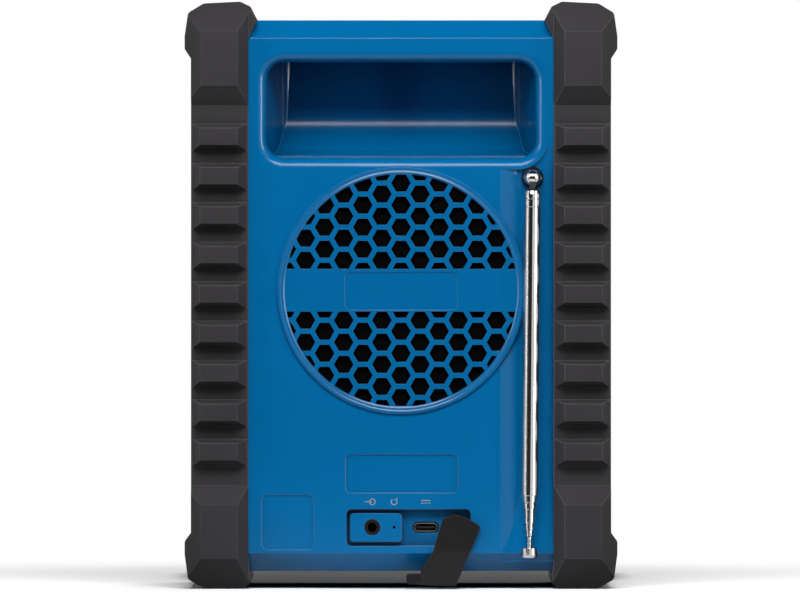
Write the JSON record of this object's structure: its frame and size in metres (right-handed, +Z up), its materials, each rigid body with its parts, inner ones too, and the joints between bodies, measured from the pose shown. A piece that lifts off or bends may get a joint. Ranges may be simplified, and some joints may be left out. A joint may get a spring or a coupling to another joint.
{
  "type": "jobsite radio",
  "caption": "Small jobsite radio with round grilles, a finger pocket, rubber bumpers, a folding telescopic antenna, a port bay with a rubber cover, and front knobs and buttons.",
  "frame": {"origin": "on the floor under the middle of the cabinet", "axes": "+X to the antenna's side as the rear is seen, +Y to the front with the speaker, +Z up"},
  "size_m": [0.1624, 0.118, 0.2205],
  "materials": {
    "panel_blue": "fine satin moulding texture",
    "bumper_rubber": "matt moulded rubber",
    "grille_blue": "satin",
    "black_plastic": "satin",
    "black_cloth": "acoustic cloth",
    "seal_rubber": "soft",
    "antenna_chrome": "polished",
    "steel": "zinc plated",
    "window": "tinted clear plastic",
    "circuit_board": "solder mask",
    "magnet": "ferrite",
    "cone_paper": "pressed paper",
    "cell_wrap": "shrink wrap",
    "button_grey": "satin"
  },
  "bodies": {
    "cabinet": {"rear_shell": "panel_blue", "front_shell": "panel_blue", "shell_seal": "seal_rubber", "front_fascia": "black_plastic", "right_bumper": "bumper_rubber", "left_bumper": "bumper_rubber", "rear_grille": "grille_blue", "rear_grille_cloth": "black_cloth", "front_grille": "grille_blue", "front_grille_cloth": "black_cloth", "speaker_basket": "black_plastic", "speaker_magnet": "magnet", "speaker_cone": "cone_paper", "speaker_dust_cap": "cone_paper", "speaker_screws": "steel", "radiator_frame": "black_plastic", "radiator_diaphragm": "cone_paper", "display_window": "window", "display_module": "black_plastic", "volume_encoder": "steel", "tuning_encoder": "steel", "button_switches": "black_plastic", "control_board": "circuit_board", "main_board": "circuit_board", "board_spacers": "steel", "board_parts": "black_plastic", "port_board": "circuit_board", "jack_socket": "black_plastic", "usb_c_socket": "steel", "reset_switch": "black_plastic", "antenna_bush": "black_plastic", "battery_cells": "cell_wrap", "battery_holder": "black_plastic", "shell_screws": "steel", "bumper_screws": "steel"},
    "volume_knob": {"volume_knob": "black_plastic", "volume_shaft": "steel"},
    "tuning_knob": {"tuning_knob": "black_plastic", "tuning_shaft": "steel"},
    "power_button": {"power_button": "button_grey"},
    "preset_button_1": {"preset_button_1": "button_grey"},
    "preset_button_2": {"preset_button_2": "button_grey"},
    "preset_button_3": {"preset_button_3": "button_grey"},
    "preset_button_4": {"preset_button_4": "button_grey"},
    "mode_button": {"mode_button": "button_grey"},
    "reset_button": {"reset_button": "black_plastic"},
    "port_cover": {"port_cover": "bumper_rubber"},
    "antenna_swivel": {"antenna_swivel": "antenna_chrome", "antenna_nut": "steel", "antenna_pin": "antenna_chrome"},
    "antenna_base_tube": {"antenna_tang": "antenna_chrome", "antenna_tube_1": "antenna_chrome"},
    "antenna_section_2": {"antenna_tube_2": "antenna_chrome"},
    "antenna_section_3": {"antenna_tube_3": "antenna_chrome"},
    "antenna_section_4": {"antenna_tube_4": "antenna_chrome"},
    "antenna_section_5": {"antenna_tube_5": "antenna_chrome"},
    "antenna_section_6": {"antenna_tube_6": "antenna_chrome"},
    "antenna_rod": {"antenna_rod": "antenna_chrome", "antenna_tip": "antenna_chrome"}
  },
  "joints": [
    {"name": "volume_knob_turn", "type": "hinge", "parent": "cabinet", "child": "volume_knob", "pos_m": [-0.042, 0.055, 0.1735], "axis": [0, 1, 0], "continuous": true},
    {"name": "tuning_knob_turn", "type": "hinge", "parent": "cabinet", "child": "tuning_knob", "pos_m": [0.042, 0.055, 0.1735], "axis": [0, 1, 0], "continuous": true},
    {"name": "power_button_press", "type": "slide", "parent": "cabinet", "child": "power_button", "axis": [0, -1, 0], "range_m": [0, 0.0008], "stiffness_N_per_m": 400},
    {"name": "preset_button_1_press", "type": "slide", "parent": "cabinet", "child": "preset_button_1", "axis": [0, -1, 0], "range_m": [0, 0.0008], "stiffness_N_per_m": 400},
    {"name": "preset_button_2_press", "type": "slide", "parent": "cabinet", "child": "preset_button_2", "axis": [0, -1, 0], "range_m": [0, 0.0008], "stiffness_N_per_m": 400},
    {"name": "preset_button_3_press", "type": "slide", "parent": "cabinet", "child": "preset_button_3", "axis": [0, -1, 0], "range_m": [0, 0.0008], "stiffness_N_per_m": 400},
    {"name": "preset_button_4_press", "type": "slide", "parent": "cabinet", "child": "preset_button_4", "axis": [0, -1, 0], "range_m": [0, 0.0008], "stiffness_N_per_m": 400},
    {"name": "mode_button_press", "type": "slide", "parent": "cabinet", "child": "mode_button", "axis": [0, -1, 0], "range_m": [0, 0.0008], "stiffness_N_per_m": 400},
    {"name": "reset_button_press", "type": "slide", "parent": "cabinet", "child": "reset_button", "axis": [0, 1, 0], "range_m": [0, 0.0003], "stiffness_N_per_m": 400},
    {"name": "port_cover_swing", "type": "hinge", "parent": "cabinet", "child": "port_cover", "pos_m": [0.0216, -0.048, 0.023], "axis": [0, 1, 0], "range_deg": [0, 66]},
    {"name": "antenna_turn", "type": "hinge", "parent": "cabinet", "child": "antenna_swivel", "pos_m": [0.0493, -0.0556, 0.1544], "axis": [0, 1, 0], "range_deg": [-2, 2]},
    {"name": "antenna_tilt", "type": "hinge", "parent": "antenna_swivel", "child": "antenna_base_tube", "pos_m": [0.0493, -0.0556, 0.1544], "axis": [-1, 0, 0.0087], "range_deg": [0, 180]},
    {"name": "antenna_section_2_pull", "type": "slide", "parent": "antenna_base_tube", "child": "antenna_section_2", "axis": [-0.0087, 0, -1], "range_m": [0, 0.1]},
    {"name": "antenna_section_3_pull", "type": "slide", "parent": "antenna_section_2", "child": "antenna_section_3", "axis": [-0.0087, 0, -1], "range_m": [0, 0.1]},
    {"name": "antenna_section_4_pull", "type": "slide", "parent": "antenna_section_3", "child": "antenna_section_4", "axis": [-0.0087, 0, -1], "range_m": [0, 0.1]},
    {"name": "antenna_section_5_pull", "type": "slide", "parent": "antenna_section_4", "child": "antenna_section_5", "axis": [-0.0087, 0, -1], "range_m": [0, 0.1]},
    {"name": "antenna_section_6_pull", "type": "slide", "parent": "antenna_section_5", "child": "antenna_section_6", "axis": [-0.0087, 0, -1], "range_m": [0, 0.1]},
    {"name": "antenna_rod_pull", "type": "slide", "parent": "antenna_section_6", "child": "antenna_rod", "axis": [-0.0087, 0, -1], "range_m": [0, 0.1]}
  ]
}
